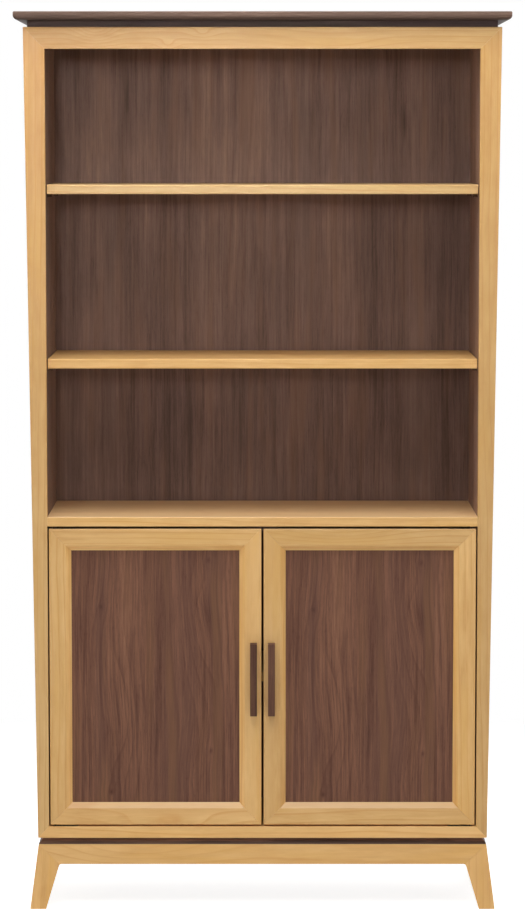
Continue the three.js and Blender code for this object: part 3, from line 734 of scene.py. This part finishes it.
def steel(name):
    material = bpy.data.materials.new(name)
    g = Graph(material)
    xyz = g.put("TexCoord").outputs["Object"]
    brush = g.noise(g.stretch(xyz, STEEL_BRUSHING)).outputs["Fac"]
    stain = g.noise(g.stretch(xyz, STEEL_STAINS), 3.0).outputs["Fac"]
    colour = g.mix(g.step(stain, *STAIN_STEP), STEEL_CLEAN, STEEL_STAINED)
    rough = g.math("ADD", STEEL_ROUGHNESS, g.centred(brush, STEEL_ROUGHNESS_VARIATION))
    g.surface(colour, rough, brush, *STEEL_RELIEF, {"Metallic": 1.0})
    return material


def plastic(name):
    material = bpy.data.materials.new(name)
    g = Graph(material)
    xyz = g.put("TexCoord").outputs["Object"]
    grain = g.noise(g.stretch(xyz, PLASTIC_GRAIN)).outputs["Fac"]
    flow = g.noise(g.stretch(xyz, PLASTIC_FLOW)).outputs["Fac"]
    colour = g.mix(flow, PLASTIC_LIGHT, PLASTIC_DARK)
    rough = g.math("ADD", PLASTIC_ROUGHNESS, g.centred(grain, PLASTIC_ROUGHNESS_VARIATION))
    g.surface(colour, rough, grain, *PLASTIC_RELIEF, {})
    return material


STEEL = steel("bronzed_steel")
for name in nodes:
    if "_pin_" in name or "hinge_leaf" in name:
        paint(name, STEEL)
paint("door_catch", plastic("brown_plastic"))


# Screw heads and plates

SCREW_SIDES = 48
SCREW_RINGS = (0.16, 0.28, 0.40, 0.52, 0.62, 0.70, 0.82, 0.92, 1.0)  # shares of the head's radius
DOME = 0.85  # 0 is flat, and 1 comes down to the surface at the rim
CROSS_LENGTH, CROSS_WIDTH = 0.62, 0.13  # from the middle to an arm's end and to its side, in radii
CROSS_FLOOR = 0.25  # its level, as a share of the head's height
CORNER_STEPS = 4
PLATE_EASING = 0.25  # share of the thickness
PLATE_EASED_ANGLE = 60  # degrees, so that the steps of the corners stay as they are


def add_piece(name, verts, faces, body, smooth=True):
    mesh = bpy.data.meshes.new(name)
    mesh.from_pydata(verts, [], faces)
    mesh.materials.append(STEEL)
    for face in mesh.polygons:
        face.use_smooth = smooth
    piece = bpy.data.objects.new(name, mesh)
    bpy.context.scene.collection.objects.link(piece)
    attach(piece, body)
    return piece


def screw_head(radius, height):
    """A domed head with a cross recess, +Z out of the surface: its points, and its faces."""
    recess = CROSS_FLOOR * height
    points = [(0.0, 0.0, recess)]
    for share in SCREW_RINGS:
        for side in range(SCREW_SIDES):
            turn = 2 * math.pi * side / SCREW_SIDES
            x, y = share * math.cos(turn), share * math.sin(turn)
            in_arm = min(abs(x), abs(y)) < CROSS_WIDTH and share < CROSS_LENGTH
            top = height * math.sqrt(1 - DOME * share * share)
            points.append((radius * x, radius * y, recess if in_arm else top))
    base = len(points)
    for side in range(SCREW_SIDES):
        turn = 2 * math.pi * side / SCREW_SIDES
        points.append((radius * math.cos(turn), radius * math.sin(turn), 0.0))
    faces = []
    for side in range(SCREW_SIDES):
        after = (side + 1) % SCREW_SIDES
        faces.append((0, 1 + side, 1 + after))
        for ring in range(len(SCREW_RINGS)):
            near = 1 + ring * SCREW_SIDES
            far = near + SCREW_SIDES
            faces.append((near + side, far + side, far + after, near + after))
    faces.append(tuple(base + side for side in reversed(range(SCREW_SIDES))))
    return points, faces


def add_screws(name, body, places, out, radius, height):
    """Screw heads at several places, all facing the same way out of their surface."""
    points, faces = screw_head(radius, height)
    spin = Vector(out).to_track_quat("Z", "Y").to_matrix()
    all_points, all_faces = [], []
    for place in places:
        start = len(all_points)
        all_points += [tuple(Vector(place) + spin @ Vector(point)) for point in points]
        all_faces += [tuple(start + index for index in face) for face in faces]
    add_piece(name, all_points, all_faces, body)


def add_plate(name, body, middle, width, height, thickness, corner):
    """A thin upright plate with rounded corners. It reaches from the middle's depth to a thickness behind."""
    rim = []
    for cx, cz, start in ((1, 1, 0), (-1, 1, 90), (-1, -1, 180), (1, -1, 270)):
        for step in range(CORNER_STEPS + 1):
            turn = math.radians(start + 90 * step / CORNER_STEPS)
            x = cx * (width / 2 - corner) + corner * math.cos(turn)
            z = cz * (height / 2 - corner) + corner * math.sin(turn)
            rim.append((middle[0] + x, middle[2] + z))
    points = [(x, middle[1], z) for x, z in rim] + [(x, middle[1] + thickness, z) for x, z in rim]
    count = len(rim)
    faces = [tuple(range(count)), tuple(reversed(range(count, 2 * count)))]
    for side in range(count):
        after = (side + 1) % count
        faces.append((side, count + side, count + after, after))
    piece = add_piece(name, points, faces, body, smooth=False)
    round_edges(piece, PLATE_EASING * thickness, PLATE_EASED_ANGLE)


# Fittings: screws of the hinge leaves, strike plates, faces of the catch's magnets, and other screws

LEAF_SCREW_SHARES = (0.42, 0.80)  # of a leaf's length, from its pivot end
LEAF_SCREW = (2.6 * MM, 0.5 * MM)  # radius and height of the head
STRIKE_SCREW = (1.6 * MM, 0.25 * MM)
CATCH_SCREW = (2.4 * MM, 0.8 * MM)
BACK_SCREW = (3.4 * MM, 1.5 * MM)

POLE_SHARE = 0.28  # of the catch's width, from its middle to that of a strike plate and its magnet
STRIKE = (26 * MM, 10 * MM, 0.7 * MM)  # width, height, thickness
STRIKE_CORNER = 2 * MM
STRIKE_DROP = 6.5 * MM  # from the door's top to the plate's middle
STRIKE_SCREW_SHARE = 0.32  # of the plate's width, from its middle to a screw
MAGNET = (22 * MM, 5 * MM, 0.4 * MM)
MAGNET_CORNER = 0.8 * MM
MAGNET_LEVEL = 0.45  # share of the catch's height
CATCH_SCREW_SHARE = 0.275  # of the catch's width, from its middle to a screw
CATCH_SCREW_SHIFT = 2 * MM  # to the front

BACK_SCREW_INSET = 9 * MM
BACK_SCREW_ROWS = 7
BACK_SCREW_COLUMNS = 4


def screw_leaf(node, body, sign, level, up):
    """Screw heads on a hinge leaf's face at a level, which looks up (1) or down (-1)."""
    low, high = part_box(node)
    outer, inner = (high.x, low.x) if sign > 0 else (low.x, high.x)
    places = [(outer + share * (inner - outer), (low.y + high.y) / 2, level) for share in LEAF_SCREW_SHARES]
    add_screws(node + "_screws", body, places, (0, 0, up), *LEAF_SCREW)


def screw_leaves(side, sign):
    door, case = f"door_{side}_hinge_leaf_", f"case_hinge_leaf_{side}_"
    body = f"{side}_door"
    screw_leaf(door + "lower", body, sign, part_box(door + "lower")[0].z, -1)
    screw_leaf(door + "upper", body, sign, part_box(door + "upper")[1].z, 1)
    screw_leaf(case + "lower", "case", sign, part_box("frame_bottom_rail")[1].z, 1)
    screw_leaf(case + "upper", "case", sign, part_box("fixed_shelf")[0].z, -1)


def add_catch_half(side, sign):
    """The strike plate on a door with its screws, and the face of the magnet that it meets."""
    low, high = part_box("door_catch")
    stile_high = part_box(f"door_{side}_meeting_stile")[1]
    body = f"{side}_door"
    width, _, thickness = STRIKE
    x = sign * POLE_SHARE * (high.x - low.x)
    y = stile_high.y
    z = stile_high.z - STRIKE_DROP
    add_plate(f"{side}_strike_plate", body, (x, y, z), *STRIKE, STRIKE_CORNER)
    reach = STRIKE_SCREW_SHARE * width
    heads = [(x - reach, y + thickness, z), (x + reach, y + thickness, z)]
    add_screws(f"{side}_strike_screws", body, heads, (0, 1, 0), *STRIKE_SCREW)
    place = (x, low.y - MAGNET[2], low.z + MAGNET_LEVEL * (high.z - low.z))
    add_plate(f"catch_magnet_{side}", "case", place, *MAGNET, MAGNET_CORNER)


def add_catch_screws():
    low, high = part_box("door_catch")
    reach = CATCH_SCREW_SHARE * (high.x - low.x)
    y = (low.y + high.y) / 2 - CATCH_SCREW_SHIFT
    add_screws("catch_screws", "case", [(-reach, y, low.z), (reach, y, low.z)], (0, 0, -1), *CATCH_SCREW)


def add_back_screws():
    """Screws the back panel to the linings, and to the case's boards at three levels."""
    low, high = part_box("back_panel")
    shelf_low, shelf_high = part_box("fixed_shelf")
    liner_low, liner_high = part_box("side_liner_right")
    bottom = low.z + BACK_SCREW_INSET
    top = high.z - BACK_SCREW_INSET
    heads = []
    for row in range(BACK_SCREW_ROWS):
        z = bottom + (top - bottom) * row / (BACK_SCREW_ROWS - 1)
        for sign in (-1, 1):
            heads.append((sign * (liner_low.x + liner_high.x) / 2, high.y, z))
    for z in (bottom, (shelf_low.z + shelf_high.z) / 2, top):
        for column in range(1, BACK_SCREW_COLUMNS + 1):
            heads.append(((2 * column / (BACK_SCREW_COLUMNS + 1) - 1) * shelf_high.x, high.y, z))
    add_screws("back_panel_screws", "case", heads, (0, 1, 0), *BACK_SCREW)


SIDES = (("left", -1), ("right", 1))
for side, sign in SIDES:
    screw_leaves(side, sign)
for side, sign in SIDES:
    add_catch_half(side, sign)
add_catch_screws()
add_back_screws()
